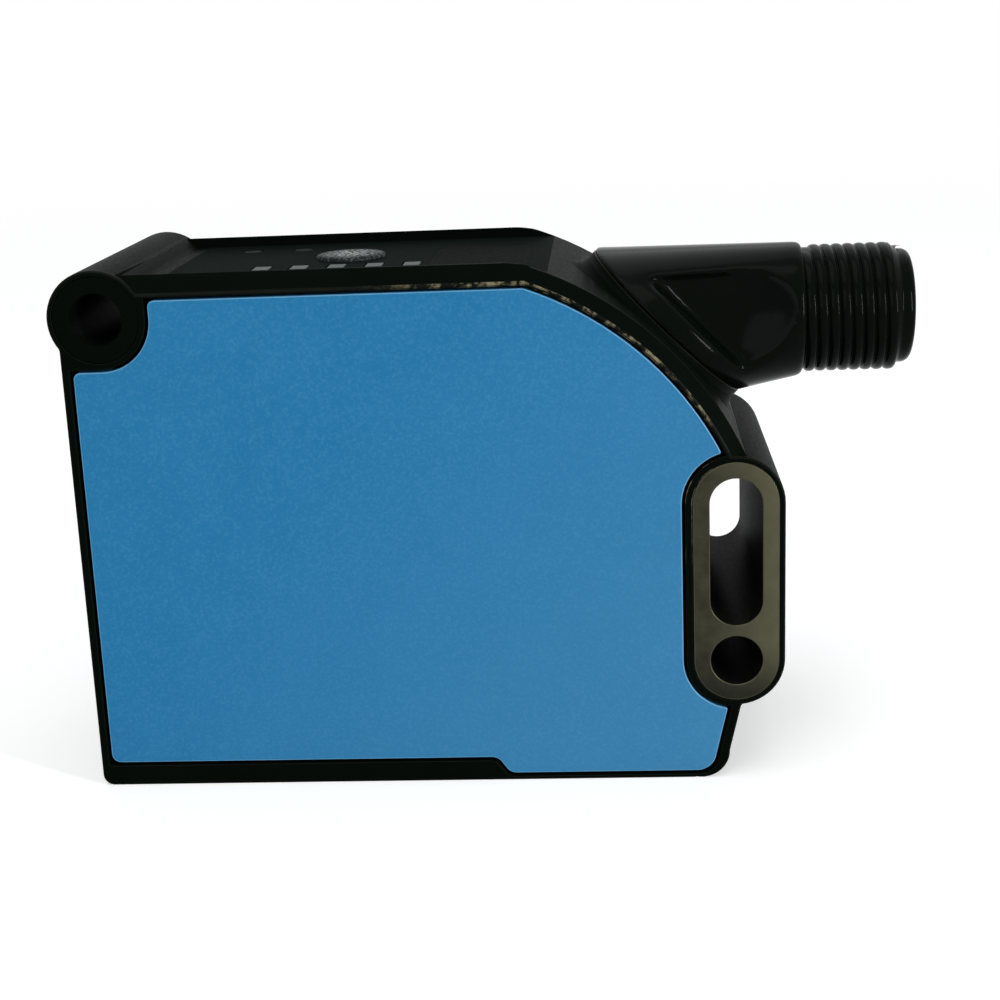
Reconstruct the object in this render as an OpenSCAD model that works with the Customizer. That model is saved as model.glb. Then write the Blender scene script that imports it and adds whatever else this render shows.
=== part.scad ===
// Colour sensor in a flat block housing with a swivelling round connector.
// The origin is the corner mounting hole's axis at mid-depth. +X runs to the connector,
// +Y across the housing, +Z up to the control panel. Sizes are in millimetres.

/* [Housing] */
// Depth across the two side faces
depth = 26; // [25:0.5:34]
// Length from the corner boss to the slotted boss
length = 62; // [62:0.5:74]
// Height from the underside to the top of the corner boss
height = 47; // [46:0.5:58]
// Step down from the corner boss to the rim of the top side
rim_drop = 0.65; // [0.4:0.05:1]
// Step in from the corner boss to the top of the front wall
front_setback = 0.85; // [0.6:0.05:1.2]
// How far the foot of the front wall stands forward of its top
front_lean = 0.5; // [0:0.1:1]
// Step in from the slot's axis to the foot of the rear wall
rear_setback = 1.2; // [0.8:0.1:2]
// Lean of the rear wall
rear_lean = 13; // [8:0.5:16]
// Corner radius at the foot of the front wall
front_corner_r = 1; // [0.5:0.1:2]
// Corner radius at the foot of the rear wall
rear_corner_r = 2.5; // [1:0.1:3]
// Radius of the curved rear shoulder
shoulder_r = 31; // [30:0.25:34]
// Distance from the slot's axis out to the shoulder's full arc
shoulder_reach = 3.6; // [3:0.1:4]
// Height by which the shoulder's full arc would stand over the rim
shoulder_crest = 1.45; // [1.2:0.05:1.8]
// Chamfer of the shoulder's edges, measured on the side face
shoulder_chamfer = 1.25; // [0.8:0.05:1.3]
// Chamfer of the rim's edges, measured on the side face
rim_chamfer = 1.55; // [1:0.05:1.8]
// Chamfer of both, measured across the housing
chamfer_across = 1; // [0.5:0.1:1.4]

/* [Mounting] */
// Radius of both mounting bosses
boss_r = 4.2; // [4:0.05:4.6]
// Wall of the boss around its sleeve
boss_wall = 0.5; // [0.4:0.05:0.7]
// Radius of the round mounting holes
hole_r = 2.25; // [2.1:0.05:2.6]
// Half width of the adjusting slot
slot_r = 2.25; // [2.1:0.05:2.6]
// Height of the lower mounting hole above the underside
hole_rise = 11.1; // [10:0.1:13]
// Depth from the rim to the upper end of a bolt's travel in the slot
slot_drop = 21.05; // [20.5:0.05:22]
// Wall between the slot and the lower hole
slot_bridge = 1; // [0.8:0.1:2]

/* [Side covers] */
// Thickness of a side cover
cover_t = 1.6; // [1.2:0.1:2]
// Depth of a cover's face below the frame's edge
cover_recess = 0.15; // [0:0.05:0.4]
// Groove all around a cover
cover_groove = 0.25; // [0.05:0.05:0.25]
// Frame edge left along the front wall
front_lip = 0.95; // [0.7:0.05:1.2]
// Frame edge left along the rear wall
rear_lip = 1.1; // [0.8:0.05:1.4]
// Frame edge left along the shoulder's side face
shoulder_lip = 0.5; // [0.4:0.05:0.9]
// Frame edge left along the rim's side face
rim_lip = 0.5; // [0.4:0.05:0.6]
// Frame edge left along the underside behind the window
foot_lip = 0.6; // [0.5:0.05:1]
// Frame edge left along the underside beside the window
window_lip = 2.15; // [1.9:0.05:2.6]
// Distance from the corner hole to the step between the two
lip_step = 32.3; // [31:0.1:34]
// Frame edge left around the corner boss
corner_lip = 0.3; // [0.25:0.05:0.4]
// Frame edge left around the slotted boss
slot_lip = 0.4; // [0.3:0.05:0.6]
// Width of the seat under a cover's edge
seat_w = 1.2; // [0.9:0.1:1.4]
// Thickness of the seal under a cover
seal_t = 0.3; // [0.2:0.05:0.5]

/* [Control panel] */
// Depth of the panel below the rim
panel_drop = 0.95; // [0.6:0.05:1.1]
// Width of the rim beside the panel
rim_w = 1.1; // [0.9:0.05:1.5]
// Thickness of the panel's foil
foil_t = 0.3; // [0.2:0.05:0.4]
// Distance from the corner hole to the foil's front end
foil_start = 4.6; // [4.4:0.1:5]
// Distance from the foil's rear end to the panel's end at the shoulder
foil_back = 0.95; // [0.6:0.05:1.4]
// Radius of the teach button
button_r = 3.2; // [2.8:0.05:3.3]
// Distance from the corner hole to the teach button
button_x = 19.8; // [19.4:0.1:20.2]
// Distance from the bar indicators across to the teach button
button_off = 5.6; // [5.2:0.1:5.9]
// Height of the teach button above the foil
button_rise = 0.35; // [0.3:0.05:0.5]
// Travel of the teach button
button_travel = 0.4; // [0.2:0.05:0.4]
// Distance between two bar indicators
bar_pitch = 3.35; // [3.2:0.05:3.5]
// Length of a bar indicator
bar_len = 1.5; // [1.2:0.1:1.8]
// Width of a bar indicator
bar_w = 2.2; // [1.8:0.1:2.3]
// Distance from the corner hole to the first bar indicator
bar_x = 12.6; // [12.2:0.1:12.8]
// Distance from the panel's near edge to the bar indicators
bar_in = 8.2; // [7.6:0.1:8.4]
// Radius of a status lens
status_r = 0.9; // [0.7:0.05:1.1]
// Distance from the panel's far edge to the status lenses
status_in = 3.9; // [3.7:0.1:4.7]
// Length of the display window
display_len = 8.6; // [8:0.1:9]
// Width of the display window
display_w = 14; // [12:0.5:15]
// Thickness of the display window
display_t = 1.4; // [1.1:0.1:1.6]

/* [Window and optics] */
// Length of the front window
window_len = 28; // [26:0.5:29]
// Width of the front window
window_w = 18; // [17:0.5:20]
// Thickness of the front window
window_t = 1.3; // [1:0.1:1.5]
// Depth of the front window below the underside
window_recess = 0.4; // [0.2:0.05:0.5]
// Distance from the corner hole to the optical axis
optic_x = 14.8; // [14.6:0.1:15.2]
// Radius of the objective lens
lens_r = 5.6; // [5:0.1:5.8]
// Wall of the optics holder's tubes
tube_wall = 1.3; // [1:0.1:1.5]
// Height of the splitter's centre above the underside
splitter_rise = 15.6; // [15.4:0.1:16.5]
// Height of the optics holder's foot above the floor
foot_rise = 2.6; // [2.4:0.1:3]
// Height of the optics holder over the splitter's upper edge
head_rise = 4; // [3.6:0.1:4.2]
// Depth of the receiver lens below the holder's top
receiver_drop = 2.9; // [2.7:0.1:3.2]
// Radius of the aperture stop's seat
stop_seat_r = 4.2; // [3.8:0.1:4.4]
// Radius of the aperture
aperture_r = 1.2; // [0.8:0.1:1.6]
// Thickness of the aperture stop
aperture_t = 0.4; // [0.3:0.05:0.6]
// Reach of the side tube beyond the upright tube
emitter_reach = 7.3; // [7:0.1:7.6]
// Half width of the color emitter
emitter_half = 1.6; // [1.2:0.1:2]
// Half width of the color receiver
receiver_half = 2; // [1.5:0.1:2.4]

/* [Connector] */
// Radius of the swivel's flange
flange_r = 9; // [8.6:0.1:9.2]
// Thickness of the swivel's flange
flange_t = 2; // [1.6:0.1:2.2]
// Height of the swivel's turret above the shoulder
turret_rise = 0.5; // [0.4:0.05:0.8]
// Depth of the swivel's socket
socket_depth = 4.7; // [4.5:0.1:5.5]
// Radius of the swivel's spigot
spigot_r = 6; // [5.8:0.05:6.2]
// Distance from the swivel's centre to the end of the barrel
neck_reach = 11.85; // [11.6:0.05:15]
// Height of the connector's axis above the swivel's centre
axis_lift = 0.6; // [0.4:0.1:1]
// Radius of the barrel at its end
barrel_r = 6.05; // [6:0.05:6.4]
// Half width left between the finger grips
grip_half = 4.5; // [4.4:0.1:4.8]
// Radius of the finger grips
grip_r = 6.3; // [5.8:0.1:6.6]
// Distance from the barrel's end back to the middle of the finger grips
grip_back = 7.05; // [6.8:0.05:7.4]
// Height of the middle of the finger grips above the connector's axis
grip_rise = 2.75; // [2.4:0.05:3]
// Height of the straight upper edge of the finger grips above the connector's axis
grip_top = 4.05; // [3.6:0.05:4.4]
// Radius over the connector's thread
thread_r = 5.9; // [5.8:0.05:5.95]
// Length of the connector's thread
thread_len = 7.85; // [7:0.05:10]
// Length of the cone from the thread down to the tip
cone_len = 0.6; // [0.3:0.05:1]
// Length of the tip in front of the thread
tip_len = 1.6; // [1.4:0.1:2]
// Radius of the tip
tip_r = 5.05; // [5:0.05:5.2]
// Radius of the contact chamber
chamber_r = 4.3; // [4.2:0.05:4.4]
// Width of the key in the contact chamber
key_w = 1.2; // [0.8:0.1:1.4]
// Height of the key in the contact chamber
key_h = 0.6; // [0.4:0.1:0.7]
// Distance from the key's end back to the tip's face
key_back = 1; // [0.5:0.1:2]
// Radius of a contact pin
pin_r = 0.5; // [0.4:0.05:0.55]
// Radius of the circle of outer contact pins
pin_circle_r = 2.5; // [2.4:0.05:2.7]

/* [Electronics] */
// Thickness of the circuit boards
board_t = 1.2; // [0.8:0.1:1.4]
// Height of the space over the control board
panel_gap = 1.6; // [1.5:0.1:2]
// Half width of the terminal board
terminal_half = 5.5; // [4.5:0.1:5.6]
// Radius of the terminal header
header_r = 2.6; // [2:0.1:3]
// Width of the microcontroller
controller_w = 9; // [7:0.5:10]
// Width of the smallest chip
small_chip_w = 4; // [3:0.1:4.2]
// Thickness of the smallest chip
chip_t = 1.4; // [1:0.1:1.6]
// Radius of the filter capacitor
capacitor_r = 2.4; // [2:0.1:2.6]
// Height of the filter capacitor
capacitor_h = 6; // [4:0.5:6.5]
// Gap between the main board and the right cover
board_gap = 1.15; // [1.05:0.05:1.4]

/* [Fits] */
// Gap between loose pieces
gap = 0.1; // [0.05:0.01:0.2]
// Running clearance of the swivel and the button
run_gap = 0.06; // [0.03:0.01:0.09]
// Radius of the small screws
screw_r = 0.9; // [0.8:0.05:1]
// Height of a small screw's head
screw_head = 0.9; // [0.6:0.1:0.9]

/* [Hidden] */
$fn = 64;
eps = 0.01;
far = 200;

// Heights
z_floor = boss_r - height;
z_rim = boss_r - rim_drop;
z_panel = z_rim - panel_drop;
z_low = z_floor + hole_rise;
z_slot = z_rim - slot_drop;
slot_travel = z_slot - z_low - hole_r - slot_r - slot_bridge;
z_lid = z_rim - rim_chamfer - rim_lip;
z_ceiling = z_lid - seat_w;

// Places along the housing
slot_x = length - 2 * boss_r;
front_top_x = front_setback - boss_r;
front_foot_x = front_top_x - front_lean;
rear_foot_x = slot_x - rear_setback;
rear_low_x = rear_foot_x + hole_rise * tan(rear_lean);
shoulder_x = slot_x + shoulder_reach - shoulder_r;
shoulder_z = z_rim + shoulder_crest - shoulder_r;
kink_x = shoulder_x + sqrt(shoulder_r * shoulder_r - (shoulder_r - shoulder_crest) * (shoulder_r - shoulder_crest));

// Places across the housing
y_face = depth / 2;
y_cover = y_face - cover_recess;
y_lid = y_cover - cover_t;
y_seat = y_lid - seal_t;
board_y = y_seat - board_gap - board_t + seal_t;
rim_y = y_face - rim_w;

// Mounting sleeves
sleeve_r = boss_r - boss_wall;

// Control panel
board_top = z_ceiling - panel_gap;
foil_z = z_panel - foil_t;
panel_rise = z_panel - shoulder_z;
panel_end = shoulder_x + sqrt(shoulder_r * shoulder_r - panel_rise * panel_rise);
foil_len = panel_end - foil_back - foil_start;
window_x = foil_start + foil_len - display_len / 2 - 1;
status_xs = [bar_x - 3.1, bar_x + 1.8];
bar_y = bar_in - rim_y;
button_y = bar_y + button_off;
status_y = rim_y - status_in;
pillar_r = 2 * screw_r - 0.1;
pillar_in = 4.7;
pillars = [
    [foil_start + 2 * pillar_r + 0.2, pillar_in - rim_y + 0.8],
    [button_x + button_r + pillar_r, board_y - pillar_r],
    [button_x + button_r + pillar_r, pillar_in - rim_y - 0.4]];

// Front window and optics
window_top = z_floor + window_recess + window_t;
gasket_t = 0.4;
window_seat = window_top + gasket_t;
floor_top = z_floor + window_lip + seat_w;
optic_z = z_floor + splitter_rise;
tube_r = lens_r + tube_wall;
side_tube_r = tube_r - tube_wall - 0.3;
optic_foot = floor_top + foot_rise;
optic_foot_t = 1.1 * tube_wall;
screw_out = lens_r + 4.8 * screw_r + 0.5;
screw_aside = board_y - pillar_r - 0.6;
foot_edge = 2.2 * screw_r;
optic_top = optic_z + lens_r + head_rise;
emitter_x = optic_x + tube_r + emitter_reach;
optic_screws = [for (sx = [-1, 1], sy = [-1, 1]) [sx * screw_out, sy * screw_aside]];
lens_seat = 0.5;
side_bore_r = side_tube_r - tube_wall - 0.3;
side_seat_r = side_bore_r + lens_seat;
side_seat_len = 5;

// Swivel and connector
swivel_d = shoulder_r + turret_rise;
swivel_x = shoulder_x + swivel_d * cos(45);
swivel_z = shoulder_z + swivel_d * sin(45);
axis_z = swivel_z + axis_lift;
barrel_end = swivel_x + neck_reach;
thread_end = barrel_end + thread_len;
tip_end = thread_end + tip_len;
neck_top = axis_z + barrel_r;
barrel_taper = 3.9;
spigot_bore_r = 3.6;
ring_t = 0.8;
ring_out = 1.2;
spigot_len = socket_depth + ring_t + 0.6;
carrier_t = 3;
carrier_x = tip_end - 9.6;
lead_r = 1.6;
bend_x = swivel_x + axis_lift;
stop_r = 7.6;
stop_pin_r = 0.7;
stop_deep = 0.7;
terminal_depth = socket_depth + 4.8;
header_t = 1.2;

// Solid between two planes across the housing, from an outline in X and Z
module across(from, to) {
    translate([0, to, 0])
        rotate([90, 0, 0])
            linear_extrude(to - from)
                children();
}

// Round bar across the housing
module bar_across(r, from, to, x, z) {
    translate([x, to, z])
        rotate([90, 0, 0])
            cylinder(r = r, h = to - from);
}

// Box between two corners
module box(low, high) {
    translate(low)
        cube(high - low);
}

// Frame of the swivel: +Z leaves the housing along the swivel's axis
module on_swivel() {
    translate([swivel_x, 0, swivel_z])
        rotate([0, 45, 0])
            children();
}

// Frame of the connector: +Z runs along +X, out of the connector
module on_connector(x) {
    translate([x, 0, axis_z])
        rotate([0, 90, 0])
            children();
}

// Flat obround in X and Z between two heights
module obround(r, x, low, high) {
    translate([x, low])
        circle(r);
    translate([x, high])
        circle(r);
    translate([x - r, low])
        square([2 * r, high - low]);
}

// Plate with rounded corners, lying flat
module rounded_plate(len_x, len_y, t, r) {
    translate([-len_x / 2 + r, -len_y / 2, 0])
        cube([len_x - 2 * r, len_y, t]);
    translate([-len_x / 2, -len_y / 2 + r, 0])
        cube([len_x, len_y - 2 * r, t]);
    for (sx = [-1, 1], sy = [-1, 1])
        translate([sx * (len_x / 2 - r), sy * (len_y / 2 - r), 0])
            cylinder(r = r, h = t);
}

// Side view of the housing without its bosses
module body_outline() {
    intersection() {
        polygon([
            [front_foot_x + front_corner_r, z_floor],
            [rear_foot_x - rear_corner_r, z_floor],
            [rear_foot_x + rear_corner_r * sin(rear_lean), z_floor + rear_corner_r],
            [rear_low_x, z_low],
            [rear_low_x, z_rim],
            [0, z_rim],
            [front_top_x, 0],
            [front_foot_x, z_floor + front_corner_r]]);
        shoulder_side(shoulder_r);
    }
    translate([front_foot_x + front_corner_r, z_floor + front_corner_r])
        circle(front_corner_r);
    translate([rear_foot_x - rear_corner_r * (1 - tan(rear_lean)), z_floor + rear_corner_r])
        circle(rear_corner_r);
}

// Everything on the inner side of the shoulder's arc
module shoulder_side(r) {
    reach_x = shoulder_x + (kink_x - shoulder_x) / 2;
    translate([-far, z_floor - far])
        square([reach_x + far, 2 * far]);
    translate([-far, z_floor - far])
        square([2 * far, far + z_slot - z_floor]);
    translate([shoulder_x, shoulder_z])
        circle(r, $fn = 128);
}

// Side view of a cover, drawn in by d on every side
module cover_outline(d) {
    lip_foot = z_floor + foot_lip + d;
    lip_window = z_floor + window_lip + d;
    step_x = lip_step + d / 2;
    lean_x = d / cos(rear_lean) - (foot_lip + d) * tan(rear_lean);
    rear_x = rear_foot_x - rear_lip - lean_x;
    corner_r = boss_r + corner_lip + d;
    difference() {
        intersection() {
            polygon([
                [front_foot_x + front_lip + d, lip_window],
                [step_x, lip_window],
                [step_x + window_lip / 2, lip_foot],
                [rear_x, lip_foot],
                [rear_x + hole_rise * tan(rear_lean), lip_foot + hole_rise],
                [rear_x + hole_rise * tan(rear_lean), z_lid - d],
                [front_top_x + front_lip + d, z_lid - d]]);
            shoulder_side(shoulder_r - shoulder_chamfer - shoulder_lip - d);
        }
        circle(corner_r);
        translate([-far, 0])
            square([far + corner_r, far]);
        translate([-far, -corner_r])
            square([far, far]);
        obround(boss_r + slot_lip + d, slot_x, z_low, z_slot);
    }
}

// Wedge taken off the edge between the rim or shoulder and the left side face
module edge_chamfers() {
    difference() {
        translate([shoulder_x, -y_face - eps, shoulder_z])
            rotate([-90, 0, 0])
                difference() {
                    cylinder(r = shoulder_r + 6, h = chamfer_across + eps, $fn = 128);
                    translate([0, 0, -eps])
                        cylinder(r1 = shoulder_r - shoulder_chamfer, r2 = shoulder_r,
                            h = chamfer_across + 2 * eps, $fn = 128);
                }
        box([-far, -far, -far], [kink_x, far, far]);
        box([-far, -far, -far], [far, far, z_slot]);
    }
    translate([-boss_r, 0, 0])
        rotate([90, 0, 90])
            linear_extrude(length)
                polygon([
                    [-y_face - 1, z_rim - rim_chamfer - rim_chamfer / chamfer_across],
                    [-y_face + chamfer_across, z_rim],
                    [-y_face + chamfer_across, z_rim + 1],
                    [-y_face - 1, z_rim + 1]]);
}

// Pads on the frame's walls that carry the main board
board_pads = [
    [front_top_x + 4.9, z_floor + 26],
    [slot_x - boss_r - 4.2, z_low + 6],
    [slot_x - boss_r - 8.4, z_floor + 4.3]];
module board_pad_blocks() {
    pad_low = board_y - 2.6;
    box([front_foot_x + 1, pad_low, board_pads[0][1] - 2], [board_pads[0][0] + 2, board_y, board_pads[0][1] + 2]);
    box([board_pads[1][0] - 2, pad_low, board_pads[1][1] - 2], [slot_x - boss_r + 0.3, board_y, board_pads[1][1] + 2]);
    box([board_pads[2][0] - 2, pad_low, z_floor + 1], [board_pads[2][0] + 2, board_y, board_pads[2][1] + 2]);
}

// Groove in the turret that stops the swivel at both ends of its travel
module stop_groove() {
    extra = 2 * asin((stop_pin_r + gap) / (2 * stop_r));
    rotate([0, 0, -extra])
        rotate_extrude(angle = 180 + 2 * extra)
            translate([stop_r - stop_pin_r - gap, -stop_deep - gap])
                square([2 * (stop_pin_r + gap), stop_deep + gap + eps]);
}

// Moulded frame with both bosses, the rim, the shoulder and the swivel's turret
module housing_frame() {
    color([0.05, 0.06, 0.05])
        difference() {
            union() {
                difference() {
                    union() {
                        across(-y_face, y_face)
                            body_outline();
                        on_swivel()
                            translate([0, 0, -socket_depth])
                                cylinder(r = flange_r, h = socket_depth);
                    }
                    edge_chamfers();
                    mirror([0, 1, 0])
                        edge_chamfers();
                    across(-y_face - 1, y_face + 1)
                        cover_outline(seat_w);
                    across(y_seat, y_face + 1)
                        cover_outline(-cover_groove);
                    across(-y_face - 1, -y_seat)
                        cover_outline(-cover_groove);
                    box([0, -rim_y, z_panel], [panel_end + 1, rim_y, z_rim + 1]);
                }
                on_swivel()
                    translate([0, 0, -socket_depth])
                        cylinder(r = flange_r - 1, h = socket_depth);
                bar_across(boss_r, -y_face, y_face, 0, 0);
                across(-y_face, y_face)
                    obround(boss_r, slot_x, z_low, z_slot);
                board_pad_blocks();
                for (p = pillars)
                    translate([p[0], p[1], board_top])
                        cylinder(r = pillar_r, h = panel_gap + eps);
                for (p = optic_screws)
                    translate([optic_x + p[0], p[1], floor_top - eps])
                        cylinder(r = 1.9, h = optic_foot - floor_top + eps);
            }
            bar_across(sleeve_r + gap / 2, -y_face - 1, y_face + 1, 0, 0);
            across(-y_face - 1, y_face + 1)
                obround(sleeve_r + gap / 2, slot_x, z_low, z_slot);
            on_swivel() {
                translate([0, 0, -socket_depth - 1])
                    cylinder(r = spigot_r + run_gap, h = socket_depth + 2);
                stop_groove();
            }
            box([foil_start - gap, -rim_y, foil_z], [foil_start + foil_len + gap, rim_y, z_rim]);
            panel_openings(gap);
            window_cuts();
            pilot_holes();
        }
}

// Openings through the top wall, wider than their pieces by g
module panel_openings(g) {
    translate([button_x, button_y, z_ceiling - 1])
        cylinder(r = button_r + run_gap, h = 10);
    for (i = [0 : 4])
        translate([bar_x + i * bar_pitch, bar_y, (z_ceiling + z_rim) / 2])
            cube([bar_len + 2 * g, bar_w + 2 * g, 2 * (z_rim - z_ceiling)], center = true);
    for (x = status_xs)
        translate([x, status_y, z_ceiling - 1])
            cylinder(r = status_r + g, h = 10);
    translate([window_x, 0, foil_z + foil_t - display_t])
        rounded_plate(display_len + 2 * g, display_w + 2 * g, display_t + 2, 0.6);
    translate([window_x, 0, z_ceiling - 1])
        rounded_plate(display_len - 1.6, display_w - 1.6, 4, 0.5);
}

// Recess of the front window and the light's opening behind it
module window_cuts() {
    translate([optic_x, 0, z_floor - 1])
        rounded_plate(window_len + 2 * gap, window_w + 2 * gap, window_seat - z_floor + 1, 1.5);
    translate([optic_x, 0, z_floor])
        cylinder(r = tube_r + 0.4, h = floor_top - z_floor + 1);
}

// Pilot holes for all small screws
module pilot_holes() {
    for (p = board_pads)
        bar_across(screw_r + gap / 2, board_y - 2.2, board_y + 1, p[0], p[1]);
    for (p = pillars)
        translate([p[0], p[1], board_top - 1])
            cylinder(r = screw_r + gap / 2, h = 1 + panel_gap + 0.8);
    for (p = optic_screws)
        translate([optic_x + p[0], p[1], optic_foot - 2.4])
            cylinder(r = screw_r + gap / 2, h = 4);
}

// Flat blue cover set into one side of the frame
module left_cover() {
    color([0.17, 0.47, 0.65])
        across(-y_cover, -y_lid)
            cover_outline(0);
}

module right_cover() {
    color([0.17, 0.47, 0.65])
        across(y_lid, y_cover)
            cover_outline(0);
}

// Flat seal between a cover's edge and its seat
module cover_seal(from, to) {
    color([0.2, 0.2, 0.2])
        across(from, to)
            difference() {
                cover_outline(gap);
                cover_outline(seat_w - gap);
            }
}

module left_cover_seal() {
    cover_seal(-y_lid, -y_seat);
}

module right_cover_seal() {
    cover_seal(y_seat, y_lid);
}

// Metal sleeve with the adjusting slot and the lower hole
module slot_sleeve() {
    color([0.3, 0.3, 0.24])
        difference() {
            across(-y_face, y_face)
                obround(sleeve_r, slot_x, z_low, z_slot);
            across(-y_face - 1, y_face + 1)
                obround(slot_r, slot_x, z_slot - slot_travel, z_slot);
            bar_across(hole_r, -y_face - 1, y_face + 1, slot_x, z_low);
        }
}

// Metal sleeve of the corner hole
module corner_sleeve() {
    color([0.1, 0.1, 0.09])
        difference() {
            bar_across(sleeve_r, -y_face, y_face, 0, 0);
            bar_across(hole_r, -y_face - 1, y_face + 1, 0, 0);
        }
}

// Glass window that the light leaves through
module front_window() {
    color([0.75, 0.85, 0.9, 0.5])
        translate([optic_x, 0, window_top - window_t])
            rounded_plate(window_len, window_w, window_t, 1.4);
}

module window_gasket() {
    color([0.1, 0.1, 0.1])
        translate([optic_x, 0, window_top])
            difference() {
                rounded_plate(window_len, window_w, gasket_t, 1.4);
                translate([0, 0, -1])
                    rounded_plate(window_len - 3, window_w - 1.8, gasket_t + 2, 1);
            }
}

// Foil with the openings for the button, the lights and the display
module control_foil() {
    color([0.12, 0.15, 0.14])
        difference() {
            box([foil_start, -rim_y + gap, foil_z], [foil_start + foil_len, rim_y - gap, z_panel]);
            panel_openings(gap);
        }
}

module display_window() {
    color([0.08, 0.09, 0.1])
        translate([window_x, 0, z_panel - display_t])
            rounded_plate(display_len, display_w, display_t, 0.5);
}

module display_module() {
    color([0.15, 0.15, 0.17])
        translate([window_x, 0, board_top])
            rounded_plate(display_len - 0.4, display_w - 1, panel_gap - gap, 0.3);
}

// Clear bar with a finger under each indicator
module indicator_light_guide() {
    bar_t = 0.6;
    color([0.9, 0.9, 0.88])
        union() {
            box([bar_x - bar_len / 2, bar_y - bar_w / 2, z_ceiling - gap - bar_t],
                [bar_x + 4 * bar_pitch + bar_len / 2, bar_y + bar_w / 2, z_ceiling - gap]);
            for (i = [0 : 4])
                translate([bar_x + i * bar_pitch - bar_len / 2, bar_y - bar_w / 2, z_ceiling - 2 * gap])
                    cube([bar_len, bar_w, z_panel - z_ceiling + 2 * gap]);
        }
}

// Small light on the control board
module board_light(x, y, h) {
    color([0.95, 0.95, 0.85])
        translate([x - 0.6, y - 0.5, board_top])
            cube([1.2, 1, h]);
}

module indicator_led(i) {
    board_light(bar_x + (i - 1) * bar_pitch, bar_y, panel_gap - 0.6 - 2 * gap);
}

module status_led(i) {
    board_light(status_xs[i - 1], status_y, panel_gap - 0.5 - 2 * gap);
}

// Round lens of a status light, with a collar under the top wall
module status_lens(i) {
    color([0.7, 0.72, 0.7])
        translate([status_xs[i - 1], status_y, z_ceiling - gap]) {
            translate([0, 0, -0.5])
                cylinder(r = status_r + 0.3, h = 0.5);
            translate([0, 0, -gap])
                cylinder(r = status_r, h = z_panel - z_ceiling + 2 * gap);
        }
}

// Round push button with a collar that holds it under the top wall
module teach_button() {
    collar_t = 0.4;
    color([0.85, 0.86, 0.86])
        translate([button_x, button_y, z_ceiling - gap / 2 - collar_t]) {
            cylinder(r = button_r + 0.5, h = collar_t);
            cylinder(r = button_r, h = z_panel + button_rise - z_ceiling + gap / 2 + collar_t);
        }
}

module teach_switch() {
    color([0.2, 0.2, 0.2])
        translate([button_x - 1.6, button_y - 1.6, board_top])
            cube([3.2, 3.2, panel_gap - 0.4 - gap - button_travel]);
}

module control_board() {
    color([0.1, 0.35, 0.2])
        difference() {
            box([boss_r + corner_lip + seat_w + 0.3, -rim_y + 3, board_top - board_t],
                [window_x + display_len / 2 + 0.6, board_y, board_top]);
            for (p = pillars)
                translate([p[0], p[1], board_top - board_t - 1])
                    cylinder(r = screw_r + gap, h = board_t + 2);
        }
}

// Small screw with a round head; the shank runs along +Z
module screw(shank) {
    color([0.6, 0.6, 0.6]) {
        cylinder(r = pillar_r, h = screw_head);
        translate([0, 0, screw_head / 2])
            cylinder(r = screw_r, h = screw_head / 2 + shank);
    }
}

module control_board_screws() {
    for (p = pillars)
        translate([p[0], p[1], board_top - board_t - screw_head])
            screw(board_t + panel_gap + 0.4);
}

// Main board behind the right cover
module main_board() {
    color([0.1, 0.35, 0.2])
        difference() {
            across(board_y, board_y + board_t)
                intersection() {
                    cover_outline(seat_w + 0.3);
                    translate([-far, board_top - 2 * far])
                        square(2 * far);
                }
            for (p = board_pads)
                bar_across(screw_r + gap, board_y - 1, board_y + board_t + 1, p[0], p[1]);
        }
}

module main_board_screws() {
    for (p = board_pads)
        translate([p[0], board_y + board_t + screw_head, p[1]])
            rotate([90, 0, 0])
                screw(board_t + 2 * screw_r);
}

// Chip on the inner side of the main board
module chip(x, z, w, h, t) {
    color([0.1, 0.1, 0.1])
        translate([x - w / 2, board_y - t, z - h / 2])
            cube([w, t, h]);
}

module microcontroller() {
    chip(slot_x - 0.25 * length, z_low + 0.17 * height, controller_w, controller_w, board_t);
}

module signal_amplifier() {
    chip(slot_x - 0.27 * length, z_low - 0.04 * height, 1.3 * small_chip_w, small_chip_w, chip_t);
}

module voltage_regulator() {
    chip(slot_x - 0.42 * length, z_ceiling - 3 * small_chip_w, 1.5 * small_chip_w, 1.2 * small_chip_w, 1.3 * chip_t);
}

module output_driver() {
    chip(slot_x - 0.55 * length, z_ceiling - 1.9 * small_chip_w, 1.2 * small_chip_w, 1.2 * small_chip_w, chip_t);
}

module filter_capacitor() {
    color([0.55, 0.56, 0.58])
        bar_across(capacitor_r, board_y - capacitor_h, board_y,
            slot_x - 0.71 * length, z_ceiling - 3.8 * capacitor_r);
}

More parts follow.
